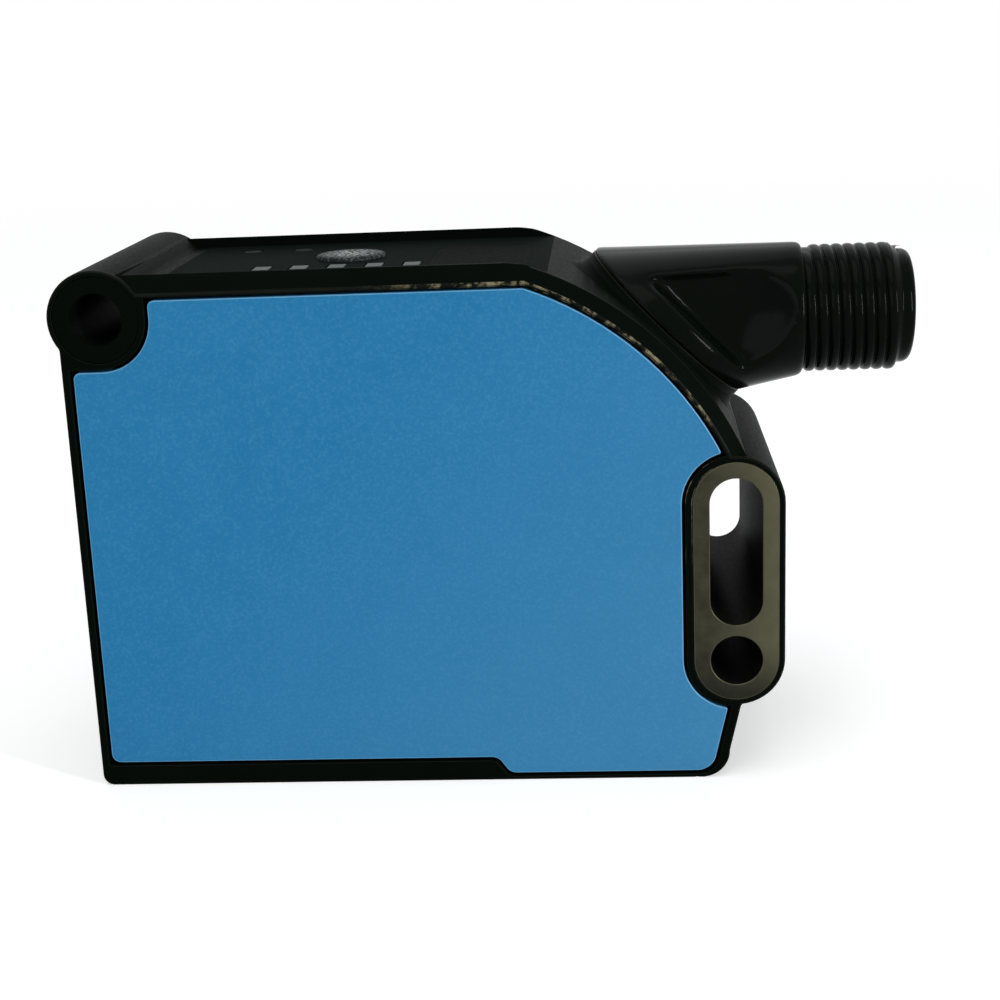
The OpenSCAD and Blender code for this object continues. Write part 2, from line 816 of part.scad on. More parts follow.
// Black holder with the upright tube, the side tube and the foot
module optics_holder() {
    color([0.07, 0.07, 0.07])
        difference() {
            union() {
                translate([optic_x, 0, floor_top + 0.3])
                    cylinder(r = tube_r, h = optic_top - floor_top - 0.3);
                translate([optic_x, 0, optic_z])
                    rotate([0, 90, 0])
                        cylinder(r = side_tube_r, h = emitter_x - optic_x);
                translate([optic_x, 0, optic_foot])
                    rounded_plate(2 * (screw_out + foot_edge), 2 * (screw_aside + foot_edge), optic_foot_t, foot_edge);
            }
            translate([optic_x, 0, floor_top - 1])
                cylinder(r = lens_r + gap / 2, h = optic_foot + optic_foot_t - floor_top + 1);
            translate([optic_x, 0, floor_top])
                cylinder(r = lens_r - lens_seat, h = optic_top - floor_top - receiver_drop + lens_seat);
            translate([optic_x, 0, optic_top - receiver_drop])
                cylinder(r = stop_seat_r, h = receiver_drop + 1);
            translate([optic_x, 0, optic_z])
                rotate([0, 90, 0]) {
                    cylinder(r = side_bore_r, h = emitter_x - optic_x + 1);
                    translate([0, 0, emitter_x - optic_x - side_seat_len])
                        cylinder(r = side_seat_r, h = side_seat_len + 1);
                }
            for (p = optic_screws)
                translate([optic_x + p[0], p[1], optic_foot - 1])
                    cylinder(r = screw_r + gap, h = optic_foot_t + 2);
        }
}

module optics_screws() {
    for (p = optic_screws)
        translate([optic_x + p[0], p[1], optic_foot + optic_foot_t + screw_head])
            rotate([180, 0, 0])
                screw(optic_foot_t + 2);
}

// Lens with one flat and one domed face, dome towards +Z
module lens(r, edge, dome) {
    ball = (r * r + dome * dome) / (2 * dome);
    color([0.8, 0.9, 0.95, 0.5])
        intersection() {
            cylinder(r = r, h = edge + dome + 1);
            translate([0, 0, edge + dome - ball])
                sphere(ball);
        }
}

module objective_lens() {
    edge = 1.4;
    translate([optic_x, 0, optic_foot + optic_foot_t - gap])
        rotate([180, 0, 0])
            lens(lens_r, edge, 1.2);
}

// Half-silvered plate at 45 degrees in the upright tube
module beam_splitter() {
    plate = 2 * (lens_r - lens_seat) * 0.78;
    color([0.8, 0.88, 0.9, 0.5])
        translate([optic_x, 0, optic_z])
            rotate([0, 45, 0])
                cube([plate * 1.1, plate * 0.84, 0.8], center = true);
}

module collimator_lens() {
    translate([emitter_x - side_seat_len + gap, 0, optic_z])
        rotate([0, 90, 0])
            lens(side_seat_r - gap / 2, 1, 1);
}

module emitter_board() {
    color([0.1, 0.35, 0.2])
        box([emitter_x + gap, -side_tube_r, optic_z - side_tube_r],
            [emitter_x + gap + board_t, board_y, optic_z + side_tube_r]);
}

module color_emitter() {
    color([0.95, 0.93, 0.8])
        box([emitter_x + gap - chip_t, -emitter_half, optic_z - emitter_half],
            [emitter_x + gap, emitter_half, optic_z + emitter_half]);
}

module receiver_board() {
    color([0.1, 0.35, 0.2])
        box([optic_x - tube_r, -tube_r, optic_top], [optic_x + tube_r, board_y, optic_top + board_t]);
}

module color_receiver() {
    color([0.15, 0.15, 0.2])
        box([optic_x - receiver_half, -receiver_half, optic_top - 0.8 * chip_t],
            [optic_x + receiver_half, receiver_half, optic_top]);
}

module receiver_lens() {
    translate([optic_x, 0, optic_top - receiver_drop + lens_seat - gap / 2])
        rotate([180, 0, 0])
            lens(lens_r - lens_seat - gap / 2, 0.8, 0.9);
}

// Thin black ring that limits the receiver's view
module aperture_stop() {
    color([0.1, 0.1, 0.1])
        translate([optic_x, 0, optic_top - receiver_drop + 1])
            difference() {
                cylinder(r = stop_seat_r - gap / 2, h = aperture_t);
                translate([0, 0, -1])
                    cylinder(r = aperture_r, h = aperture_t + 2);
            }
}

// Small board across the swivel's axis, soldered to the main board by its edge
module terminal_board() {
    color([0.1, 0.35, 0.2])
        on_swivel()
            box([-terminal_half, -terminal_half, -terminal_depth - board_t],
                [terminal_half, board_y, -terminal_depth]);
}

module terminal_header() {
    color([0.9, 0.9, 0.86])
        on_swivel()
            translate([0, 0, -terminal_depth])
                cylinder(r = header_r, h = header_t);
}

// Lead from the contacts along the connector's and the swivel's axis
module connector_lead() {
    color([0.15, 0.15, 0.15]) {
        translate([bend_x, 0, axis_z])
            sphere(lead_r);
        on_connector(bend_x)
            cylinder(r = lead_r, h = carrier_x - carrier_t / 2 - gap - bend_x);
        on_swivel()
            translate([0, 0, -terminal_depth + header_t])
                cylinder(r = lead_r, h = terminal_depth - header_t + axis_lift * sqrt(2));
    }
}

// Swivelling elbow with the flange, the spigot, the barrel and the threaded collar
module connector_neck() {
    color([0.06, 0.08, 0.07])
        difference() {
            union() {
                intersection() {
                    union() {
                        on_swivel()
                            cylinder(r = flange_r, h = flange_t);
                        barrel();
                    }
                    on_swivel()
                        box([-far, -far, 0], [far, far, far]);
                    box([-far, -far, -far], [barrel_end, far, neck_top]);
                }
                on_swivel() {
                    translate([0, 0, -spigot_len])
                        cylinder(r = spigot_r, h = spigot_len + 1);
                    translate([stop_r, 0, -stop_deep])
                        cylinder(r = stop_pin_r, h = stop_deep + 1);
                }
                on_connector(barrel_end - 2)
                    cylinder(r = thread_r, h = thread_len + 2);
                on_connector(thread_end)
                    cylinder(r1 = thread_r, r2 = tip_r, h = cone_len);
                on_connector(thread_end)
                    cylinder(r = tip_r, h = tip_len);
            }
            grip(1);
            grip(-1);
            on_connector(carrier_x)
                difference() {
                    cylinder(r = chamber_r, h = tip_end - carrier_x + 1);
                    translate([-chamber_r - 1, -key_w / 2, carrier_t + gap])
                        cube([1 + key_h, key_w, tip_end - carrier_x - carrier_t - gap - key_back]);
                }
            on_connector(bend_x)
                cylinder(r = spigot_bore_r - 0.2, h = carrier_x - bend_x + 1);
            translate([bend_x, 0, axis_z])
                sphere(spigot_bore_r);
            on_swivel() {
                translate([0, 0, -spigot_len - 1])
                    cylinder(r = spigot_bore_r, h = spigot_len + 1);
                spigot_groove(-socket_depth - ring_t - gap / 2, ring_t + gap, 0.8);
                spigot_groove(-2.6, 1, 0.9);
            }
        }
}

// Tapering barrel with a level top line
module barrel() {
    len = neck_reach + 4;
    base_r = barrel_r + len * sin(barrel_taper);
    translate([barrel_end, 0, neck_top])
        rotate([0, 90 - barrel_taper, 0])
            translate([barrel_r, 0, -len])
                cylinder(r1 = base_r, r2 = barrel_r - 0.4 * sin(barrel_taper), h = len + 0.4);
}

// Hollow on one side of the barrel that gives the fingers a hold
module grip(side) {
    intersection() {
        bar_across(grip_r, side > 0 ? grip_half : -far, side > 0 ? far : -grip_half,
            barrel_end - grip_back, axis_z + grip_rise);
        on_swivel()
            box([-far, -far, flange_t], [far, far, far]);
        box([-far, -far, -far], [far, far, axis_z + grip_top]);
    }
}

module spigot_groove(z, w, deep) {
    translate([0, 0, z])
        difference() {
            cylinder(r = spigot_r + 1, h = w);
            translate([0, 0, -1])
                cylinder(r = spigot_r - deep, h = w + 2);
        }
}

// Insulating disc that holds the contact pins
module contact_carrier() {
    color([0.12, 0.12, 0.12])
        on_connector(carrier_x)
            difference() {
                cylinder(r = chamber_r - gap / 2, h = carrier_t);
                for (i = [1 : 5])
                    translate(pin_place(i))
                        translate([0, 0, -1])
                            cylinder(r = pin_r + gap / 4, h = carrier_t + 2);
            }
}

function pin_place(i) = i == 5 ? [0, 0, 0] :
    [pin_circle_r * cos(45 + 90 * i), pin_circle_r * sin(45 + 90 * i), 0];

// Contact pin with a domed end
module contact_pin(i) {
    front = tip_end - key_back - carrier_x - pin_r;
    color([0.85, 0.7, 0.35])
        on_connector(carrier_x)
            translate(pin_place(i)) {
                translate([0, 0, -carrier_t / 2])
                    cylinder(r = pin_r, h = front + carrier_t / 2);
                translate([0, 0, front])
                    sphere(pin_r);
            }
}

// Rubber ring that seals the swivel
module swivel_seal() {
    section_r = 0.4;
    color([0.15, 0.15, 0.15])
        on_swivel()
            translate([0, 0, -2.1])
                rotate_extrude()
                    translate([spigot_r - 0.42, 0])
                        circle(section_r);
}

// Ring that keeps the spigot in its socket
module swivel_retaining_ring() {
    color([0.6, 0.6, 0.62])
        on_swivel()
            translate([0, 0, -socket_depth - ring_t])
                difference() {
                    cylinder(r = spigot_r + ring_out, h = ring_t);
                    translate([0, 0, -1])
                        cylinder(r = spigot_r - 0.8 + gap / 2, h = ring_t + 2);
                }
}

housing_frame();
left_cover();
right_cover();
left_cover_seal();
right_cover_seal();
slot_sleeve();
corner_sleeve();
front_window();
window_gasket();
control_foil();
display_window();
display_module();
indicator_light_guide();
indicator_led(1);  // indicator_led_1
indicator_led(2);  // indicator_led_2
indicator_led(3);  // indicator_led_3
indicator_led(4);  // indicator_led_4
indicator_led(5);  // indicator_led_5
status_lens(1);  // status_lens_1
status_lens(2);  // status_lens_2
status_led(1);  // status_led_1
status_led(2);  // status_led_2
teach_button();
teach_switch();
control_board();
control_board_screws();
main_board();
main_board_screws();
microcontroller();
signal_amplifier();
voltage_regulator();
output_driver();
filter_capacitor();
optics_holder();
optics_screws();
objective_lens();
beam_splitter();
collimator_lens();
color_emitter();
emitter_board();
receiver_lens();
color_receiver();
receiver_board();
aperture_stop();
terminal_board();
terminal_header();
connector_lead();
connector_neck();
contact_carrier();
contact_pin(1);  // contact_pin_1
contact_pin(2);  // contact_pin_2
contact_pin(3);  // contact_pin_3
contact_pin(4);  // contact_pin_4
contact_pin(5);  // contact_pin_5
swivel_seal();
swivel_retaining_ring();
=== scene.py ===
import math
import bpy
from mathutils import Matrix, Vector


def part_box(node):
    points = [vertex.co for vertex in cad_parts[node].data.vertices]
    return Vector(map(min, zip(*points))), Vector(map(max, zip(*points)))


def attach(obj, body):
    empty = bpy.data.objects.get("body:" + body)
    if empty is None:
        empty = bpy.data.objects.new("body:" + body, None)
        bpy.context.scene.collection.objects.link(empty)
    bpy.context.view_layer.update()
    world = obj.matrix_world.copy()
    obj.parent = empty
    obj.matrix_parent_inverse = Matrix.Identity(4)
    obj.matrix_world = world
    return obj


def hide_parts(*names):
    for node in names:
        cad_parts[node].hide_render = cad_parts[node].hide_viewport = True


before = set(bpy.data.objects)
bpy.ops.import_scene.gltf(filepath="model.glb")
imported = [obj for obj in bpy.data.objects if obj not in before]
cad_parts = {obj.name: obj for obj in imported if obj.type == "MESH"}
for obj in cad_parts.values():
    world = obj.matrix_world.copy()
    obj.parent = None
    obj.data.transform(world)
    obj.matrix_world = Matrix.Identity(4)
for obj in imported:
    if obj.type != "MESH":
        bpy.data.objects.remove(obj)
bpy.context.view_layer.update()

# Flat block color sensor with a swivelling round connector.
# Lengths are written in millimetres and turned to metres by MM. X runs from the corner hole to the
# rear, Y from the near side to the far side, and Z up.

from types import SimpleNamespace

import bmesh
import bpy
from mathutils import Matrix, Vector

MM = 0.001

# Housing: underside, panel and the rim round it
FLOOR_Z = -42.8
PANEL_Z = 2.6
RIM_Z = 3.55
RIM_Y = 11.9
KINK_X = 35.57

# Housing: outer sides, the covers' outer faces and the seats under them
SIDE_Y = 13.0
COVER_Y = 12.85
SEAT_Y = 10.95

# Housing: the two bosses and the curved shoulder
BOSS_R = 4.2
SLOT_X = 53.6
SLOT_LOW_Z = -31.7
SLOT_TOP_Z = -17.5
SHOULDER = Vector((26.2, 0, -26.0))
SHOULDER_R = 31.0

# Swivel, which is round about a line that rises at 45 degrees
SWIVEL = Vector((48.4746, 0, -3.7254))
SWIVEL_AXIS = Vector((1, 0, 1)).normalized()
TURRET_DEPTH = 4.5
FLANGE_R = 9.0
FLANGE_T = 2.0
FOOT_T = 0.3
SPIGOT_R = 6.0
SPIGOT_BORE_R = 3.6
STOP_CIRCLE_R = 7.6
STOP_PIN_R = 0.7

# Connector's elbow and barrel
AXIS_Z = SWIVEL.z + 0.6
BARREL_END = SWIVEL.x + 11.85
BARREL_R = 5.9
BARREL_TAPER = math.radians(3.9)
NECK_TOP = AXIS_Z + BARREL_R + 0.05

# Connector's finger grips
GRIP_X = BARREL_END - 7.25
GRIP_FLOOR_Y = 4.4
GRIP_Z = AXIS_Z + 2.7
GRIP_TOP_Z = AXIS_Z + 4.05
GRIP_R = 6.65
GRIP_DEPTH = 1.6
GRIP_STEEPNESS = 2.6

# Connector's thread, tip and the chamber in them
THREAD_R = 5.66
THREAD_ROOT_R = 5.42
THREAD_PITCH = 1.0
THREAD_TURNS = 8
COLLAR_LENGTH = 7.85
TIP_LENGTH = 1.6
TIP_END = BARREL_END + COLLAR_LENGTH + TIP_LENGTH
TIP_R = 5.05
CHAMBER_R = 4.3
CARRIER_X = TIP_END - 9.6
CARRIER_T = 3.0

# Teach button: middle of its crown
BUTTON = Vector((19.8, 1.9, 2.95))
BUTTON_R = 3.2

# How far edges are rounded
TURRET_EDGE = 0.12
OPENING_EDGE = 0.05
BOSS_EDGE = 0.2
HIGH_SIDE_EDGE = 0.1
LOW_SIDE_EDGE = 0.14
RIM_EDGE = 0.045
SHOULDER_EDGE = 0.08
KINK_EDGE = 1.3
COVER_EDGE = 0.11
SLEEVE_EDGE = 0.09
BAR_EDGE = 0.08
LENS_EDGE = 0.1
PANE_EDGE = 0.12
BARREL_EDGE = 0.5
KEY_EDGE = 0.12
CARRIER_EDGE = 0.1

NEAR = 0.05              # how near an edge lies to the place that it is known by
ON_AXIS = 0.0005         # radius of a turned piece's points on its axis


# Selecting and shaping

def only(*pieces):
    """Leaves just these pieces selected, the first one active."""
    bpy.ops.object.select_all(action="DESELECT")
    for piece in pieces:
        piece.select_set(True)
    bpy.context.view_layer.objects.active = pieces[0]


def settle(name):
    """Names the piece that an operator has just added, and puts its place into its mesh."""
    piece = bpy.context.object
    piece.name = name
    piece.data.name = name
    only(piece)
    bpy.ops.object.transform_apply(location=True, rotation=True, scale=True)
    return piece


def cylinder(name, radius, start, end, end_radius=None, sides=96):
    """Round bar or cone between two points in mm."""
    start, end = Vector(start), Vector(end)
    if end_radius is None:
        end_radius = radius
    bpy.ops.mesh.primitive_cone_add(
        vertices=sides, radius1=radius * MM, radius2=end_radius * MM,
        depth=(end - start).length * MM, location=(start + end) / 2 * MM,
        rotation=(end - start).to_track_quat("Z", "Y").to_euler())
    return settle(name)


def block(name, low, high):
    """Block between two corners in mm."""
    low, high = Vector(low), Vector(high)
    bpy.ops.mesh.primitive_cube_add(size=1, location=(low + high) / 2 * MM,
                                    scale=(high - low) * MM)
    return settle(name)


def modify(piece, kind, **settings):
    """Adds a modifier and applies it."""
    only(piece)
    modifier = piece.modifiers.new(kind.lower(), kind)
    for setting, value in settings.items():
        setattr(modifier, setting, value)
    bpy.ops.object.modifier_apply(modifier=modifier.name)


def edit(piece):
    """Opens the piece in edit mode with all of it selected."""
    only(piece)
    bpy.ops.object.mode_set(mode="EDIT")
    bpy.ops.mesh.select_all(action="SELECT")


def close():
    """Leaves edit mode."""
    bpy.ops.object.mode_set(mode="OBJECT")


def cut(piece, *tools):
    """Cuts the piece with tools, which are used up."""
    for tool in tools:
        modify(piece, "BOOLEAN", operation="DIFFERENCE", object=tool, solver="EXACT")
        bpy.data.objects.remove(tool)
    in_order(piece)


def saw(piece, point, normal):
    """Cuts away what lies beyond a plane and closes the cut."""
    edit(piece)
    bpy.ops.mesh.bisect(plane_co=Vector(point) * MM, plane_no=normal, use_fill=True,
                        clear_outer=True)
    close()


def mend(piece):
    """Merges doubles and turns all faces outwards."""
    edit(piece)
    bpy.ops.mesh.remove_doubles(threshold=0.002 * MM)
    bpy.ops.mesh.normals_make_consistent(inside=False)
    close()
    in_order(piece)


def in_order(piece):
    """Rebuilds the mesh with its points and faces in a fixed order, because spin gives its faces in
    another one each run."""
    old = piece.data
    places = [tuple(vertex.co) for vertex in old.vertices]
    order = sorted(range(len(places)), key=places.__getitem__)
    rank = {index: number for number, index in enumerate(order)}
    faces = []
    for face in old.polygons:
        loop = [rank[index] for index in face.vertices]
        first = loop.index(min(loop))
        faces.append(loop[first:] + loop[:first])
    piece.data = bpy.data.meshes.new(piece.name)
    piece.data.from_pydata([places[index] for index in order], [], sorted(faces))
    bpy.data.meshes.remove(old)


def outline(name, points):
    """Piece that is a closed line through points in metres, to be turned into a solid."""
    mesh = bpy.data.meshes.new(name)
    count = len(points)
    mesh.from_pydata(points, [(i, (i + 1) % count) for i in range(count)], [])
    piece = bpy.data.objects.new(name, mesh)
    bpy.context.scene.collection.objects.link(piece)
    return piece


def turned(name, profile, start, direction, sides=96):
    """Closed ring turned about a line; the profile's points are (radius, distance along it)."""
    start, direction = Vector(start), Vector(direction).normalized()
    out = direction.orthogonal().normalized()
    piece = outline(name, [(start + direction * along + out * radius) * MM
                           for radius, along in profile])
    edit(piece)
    bpy.ops.mesh.spin(steps=sides, angle=math.tau, center=start * MM, axis=direction, dupli=False)
    close()
    mend(piece)
    return piece


def cad_copy(node, name, *materials):
    """Copy of a CAD node's mesh with its triangles joined to whole faces."""
    piece = bpy.data.objects.new(name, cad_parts[node].data.copy())
    bpy.context.scene.collection.objects.link(piece)
    piece.data.materials.clear()
    for material in materials:
        piece.data.materials.append(material)
    edit(piece)
    bpy.ops.mesh.remove_doubles(threshold=0.001 * MM)
    bpy.ops.mesh.dissolve_limited(angle_limit=math.radians(0.4))
    close()
    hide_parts(node)
    return piece


def soften(piece, width_of, segments=3, sharp=24, edge_wear_and_painted_light=True):
    """Rounds each sharp edge by the width in mm that width_of gives it. The rounded faces get the
    piece's second material, if it has one: an edge tone of wear and painted light."""
    mesh = bmesh.new()
    mesh.from_mesh(piece.data)
    layers = mesh.edges.layers.float
    weight = layers.get("bevel_weight_edge") or layers.new("bevel_weight_edge")
    widths = {}
    for edge in mesh.edges:
        if len(edge.link_faces) == 2 and edge.calc_face_angle(0) > math.radians(sharp):
            widths[edge] = width_of(edge)
    widest = max(widths.values())
    for edge in mesh.edges:
        edge[weight] = widths.get(edge, 0) / widest
    mesh.to_mesh(piece.data)
    mesh.free()
    modify(piece, "BEVEL", width=widest * MM, limit_method="WEIGHT", segments=segments,
           use_clamp_overlap=False, material=1 if edge_wear_and_painted_light and len(piece.data.materials) > 1 else -1)


def smooth(piece, angle=32, weighted=True):
    """Shades the piece smooth, with edges sharper than the angle kept."""
    only(piece)
    bpy.ops.object.shade_smooth_by_angle(angle=math.radians(angle))
    if weighted:
        modify(piece, "WEIGHTED_NORMAL", keep_sharp=True, weight=60)


def fit_out(piece, body, material=None, replaced=None):
    """Gives a piece its body, and a new piece its material, and hides the CAD node that it
    replaces.
    """
    if material:
        piece.data.materials.append(material)
        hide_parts(replaced)
    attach(piece, body)


# Places on edges and faces, in mm

def middle_of(edge):
    """Middle of an edge."""
    return (edge.verts[0].co + edge.verts[1].co) / 2 / MM


def least(part, axis):
    """Lowest place of an edge's or face's points along an axis."""
    return min(vertex.co[axis] for vertex in part.verts) / MM


def reach(part):
    """Least distance of an edge's or face's points from the middle of the housing's depth."""
    return min(abs(vertex.co.y) for vertex in part.verts) / MM


def distance_to_slot(point):
    """Distance from the slotted boss's middle line."""
    z = min(max(point.z, SLOT_LOW_Z), SLOT_TOP_Z)
    return math.hypot(point.x - SLOT_X, point.z - z)


def along_swivel(height):
    """Point on the swivel's axis."""
    return SWIVEL + SWIVEL_AXIS * height


def swivel_place(point):
    """Distance from the swivel's axis, and height along it."""
    offset = point - SWIVEL
    height = offset.dot(SWIVEL_AXIS)
    return (offset - SWIVEL_AXIS * height).length, height


# Materials

def tone(code):
    """Linear colour from an sRGB hex value."""
    parts = [int(code[i:i + 2], 16) / 255 for i in (1, 3, 5)]
    return [p / 12.92 if p <= 0.04045 else ((p + 0.055) / 1.055) ** 2.4 for p in parts] + [1.0]


def add(tree, kind, inputs=(), **settings):
    """Adds a node with its settings; an input, by name or number, is linked to a socket or given a
    value."""
    made = tree.nodes.new("ShaderNode" + kind)
    for setting, value in settings.items():
        setattr(made, setting, value)
    for key, value in dict(inputs).items():
        if isinstance(value, bpy.types.NodeSocket):
            tree.links.new(value, made.inputs[key])
        else:
            made.inputs[key].default_value = value
    return made


def per(size_mm):
    """Scale of a pattern whose features are that many mm apart."""
    return 1 / (size_mm * MM)


def finish(name, tones, patch, rough, grain, height, **sockets):
    """Material whose colour drifts between two tones in patches of some mm, and whose roughness and
    fine relief follow a grain; patch, grain and height are in mm. Gives the material with the nodes
    that a further pattern is joined to."""
    material = bpy.data.materials.new(name)
    material.use_nodes = True
    tree = material.node_tree
    tree.nodes.clear()
    place = add(tree, "TexCoord").outputs["Object"]
    drift = add(tree, "TexNoise", {"Vector": place, "Scale": per(patch), "Detail": 4.0,
                                   "Roughness": 0.6})
    colour = add(tree, "Mix", {0: drift.outputs["Fac"], 6: tone(tones[0]), 7: tone(tones[1])},
                 data_type="RGBA")
    grains = add(tree, "TexNoise", {"Vector": place, "Scale": per(grain), "Detail": 2.0,
                                    "Roughness": 0.5})
    roughness = add(tree, "MapRange", {"Value": grains.outputs["Fac"], "From Min": 0.3,
                                       "From Max": 0.7, "To Min": rough[0], "To Max": rough[1]})
    relief = add(tree, "Bump", {"Height": grains.outputs["Fac"], "Distance": height * MM,
                                "Strength": 1.0})
    shader = add(tree, "BsdfPrincipled", {
        "Base Color": colour.outputs[2], "Roughness": roughness.outputs[0],
        "Normal": relief.outputs[0], **sockets})
    output = add(tree, "OutputMaterial", {"Surface": shader.outputs[0]})
    output.is_active_output = True
    return SimpleNamespace(material=material, tree=tree, place=place, colour=colour.outputs[2],
                           grain=grains.outputs["Fac"], base=shader.inputs["Base Color"])


def plain(*values, **sockets):
    """The material alone."""
    return finish(*values, **sockets).material


# Satin black moulded polyamide: near black with a green cast, a fine even grain, dull sheen.
black = plain("moulded_black_polyamide", ("#040805", "#080d0a"), 6.0, (0.38, 0.5), 0.3, 0.003,
              IOR=1.045)

# The same plastic along its rounded edges: smoother and a little lighter, partly from rubbing and
# partly as a painted highlight; on the outer lips of the rim and the shoulder a broken tan line of
# wear and painted highlight both.
rubbed_and_highlit = finish("rubbed_and_highlit_black_polyamide", ("#070b07", "#12150f"), 2.5, (0.28, 0.4), 0.25, 0.002,
                IOR=1.1)
axes = add(rubbed_and_highlit.tree, "SeparateXYZ", {0: rubbed_and_highlit.place})
outward = add(rubbed_and_highlit.tree, "Math", {0: axes.outputs["Y"]}, operation="ABSOLUTE")
tan_breaks = add(rubbed_and_highlit.tree, "TexNoise", {"Vector": rubbed_and_highlit.place, "Scale": per(0.9),
                                          "Detail": 3.0, "Roughness": 0.65})
# Share of the tan line, wear and painted highlight both, broken up by noise and kept to the lips.
edge_wear_and_painted_light = add(rubbed_and_highlit.tree, "MapRange", {"Value": tan_breaks.outputs["Fac"], "From Min": 0.46,
                                     "From Max": 0.62})
for place, tan_starts, tan_full in (
        (outward.outputs[0], 12.86, 12.93),
        (axes.outputs["Z"], -24, -16),
        (axes.outputs["X"], 51.8, 51.2),
        (axes.outputs["X"], 22, 31)):
    here = add(rubbed_and_highlit.tree, "MapRange", {"Value": place, "From Min": tan_starts * MM,
                                         "From Max": tan_full * MM})
    edge_wear_and_painted_light = add(rubbed_and_highlit.tree, "Math", {0: edge_wear_and_painted_light.outputs[0], 1: here.outputs[0]}, operation="MULTIPLY")
# Tan line: wear and a painted highlight.
tan = add(rubbed_and_highlit.tree, "Mix", {0: edge_wear_and_painted_light.outputs[0], 6: rubbed_and_highlit.colour, 7: tone("#77705a")},
          data_type="RGBA")
rubbed_and_highlit.tree.links.new(tan.outputs[2], rubbed_and_highlit.base)

# Blue textured powder coat on a flat plate: satin, finely grained, slightly uneven in tone, paler
# towards its low rear corner as a painted sheen, and with paler specks.
coat = finish("blue_powder_coat", ("#176e9e", "#2075a6"), 5.0, (0.44, 0.58), 0.24, 0.005,
              **{"Specular IOR Level": 0.18})
axes = add(coat.tree, "SeparateXYZ", {0: coat.place})
rearward = add(coat.tree, "Math", {0: axes.outputs["X"], 1: axes.outputs["Z"]},
               operation="SUBTRACT")
# Painted sheen: the coat grows paler towards its low rear corner.
coat_sheen_share = add(coat.tree, "MapRange", {"Value": rearward.outputs[0], "From Min": 30 * MM,
                                     "From Max": 95 * MM, "To Max": 0.16})
coat_with_sheen = add(coat.tree, "Mix", {0: coat_sheen_share.outputs[0], 6: coat.colour, 7: tone("#7aaecb")},
            data_type="RGBA")
specks = add(coat.tree, "MapRange", {"Value": coat.grain, "From Min": 0.45, "From Max": 0.75,
                                     "To Max": 0.16})
specked = add(coat.tree, "Mix", {0: specks.outputs[0], 6: coat_with_sheen.outputs[2], 7: tone("#5d9fc6")},
              data_type="RGBA")
coat.tree.links.new(specked.outputs[2], coat.base)

# Painted highlight along the coat's rounded edge: a paler blue.
coat_edge_highlight = plain("blue_powder_coat_edge", ("#4a8fbb", "#6aa9cf"), 1.5, (0.35, 0.5), 0.25, 0.004)

# Dark olive anodised aluminium, glass-bead blasted: dull metal with a soft mottle, paler on its
# rear side as a painted sheen, and darker round its low end.
olive = finish("blasted_olive_aluminium", ("#0f100a", "#434233"), 1.6, (0.42, 0.6), 0.18, 0.004,
               Metallic=0.6, **{"Specular IOR Level": 0.2})
axes = add(olive.tree, "SeparateXYZ", {0: olive.place})
# Painted sheen: paler towards the rear side.
rear = add(olive.tree, "MapRange", {"Value": axes.outputs["X"], "From Min": 51 * MM,
                                    "From Max": 57 * MM, "To Max": 0.28})
paler = add(olive.tree, "Mix", {0: rear.outputs[0], 6: olive.colour, 7: tone("#7d7a5f")},
            data_type="RGBA")
low_end = add(olive.tree, "MapRange", {"Value": axes.outputs["Z"], "From Min": -30.5 * MM,
                                       "From Max": -34.8 * MM, "To Max": 0.8})
darker = add(olive.tree, "Mix", {0: low_end.outputs[0], 6: paler.outputs[2], 7: tone("#0e110c")},
             data_type="RGBA")
olive.tree.links.new(darker.outputs[2], olive.base)
# The sleeve's rounded edges are painted darker: a painted shade.
olive_edge_shade = plain("darkened_olive_edge", ("#24241a", "#57543f"), 1.0, (0.3, 0.45), 0.2, 0.002,
                   Metallic=0.7)

# Black anodised aluminium of the bores: almost no sheen.
anodised = plain("black_anodised_aluminium", ("#050705", "#0a0c09"), 2.0, (0.5, 0.65), 0.2, 0.002,
                 Metallic=0.05, **{"Specular IOR Level": 0.02})

# Semi-gloss black moulded polyester of the connector: smoother than the housing.
glossy = plain("semi_gloss_black_polyester", ("#040705", "#080d09"), 5.0, (0.11, 0.17), 0.35,
               0.0006, IOR=1.09)

# Polyester foil over the panel: dark grey-green, fine matt texture.
foil = plain("dark_panel_foil", ("#090f0d", "#0f1513"), 4.0, (0.36, 0.48), 0.22, 0.002, IOR=1.014)

# Smoked acrylic window with a matt hard coat: nearly black, hardly told from the foil.
smoked = plain("smoked_acrylic", ("#070c0b", "#0b110f"), 8.0, (0.32, 0.42), 0.3, 0.001, IOR=1.014)

# Milky acrylic of the five bars and grey acrylic of the lenses: unlit, so they show as dim grey.
milky = plain("milky_acrylic", ("#555c5b", "#636a69"), 1.2, (0.25, 0.35), 0.25, 0.002, IOR=1.03,
              **{"Subsurface Weight": 0.2, "Subsurface Radius": (0.0008, 0.0008, 0.0008)})
status_grey = plain("grey_acrylic_lens", ("#1d2321", "#262c2a"), 0.8, (0.25, 0.35), 0.25, 0.002,
                    IOR=1.03)

# Textured acrylic of the button: dark grey with pale specks, which are painted glints of a
# highlight that is brightest on its crown.
speckled = finish("speckled_grey_acrylic", ("#1c2221", "#2c3231"), 0.35, (0.2, 0.4), 0.3, 0.01,
                  IOR=1.03)
outward = add(speckled.tree, "VectorMath", {0: speckled.place, 1: BUTTON * MM},
              operation="DISTANCE")
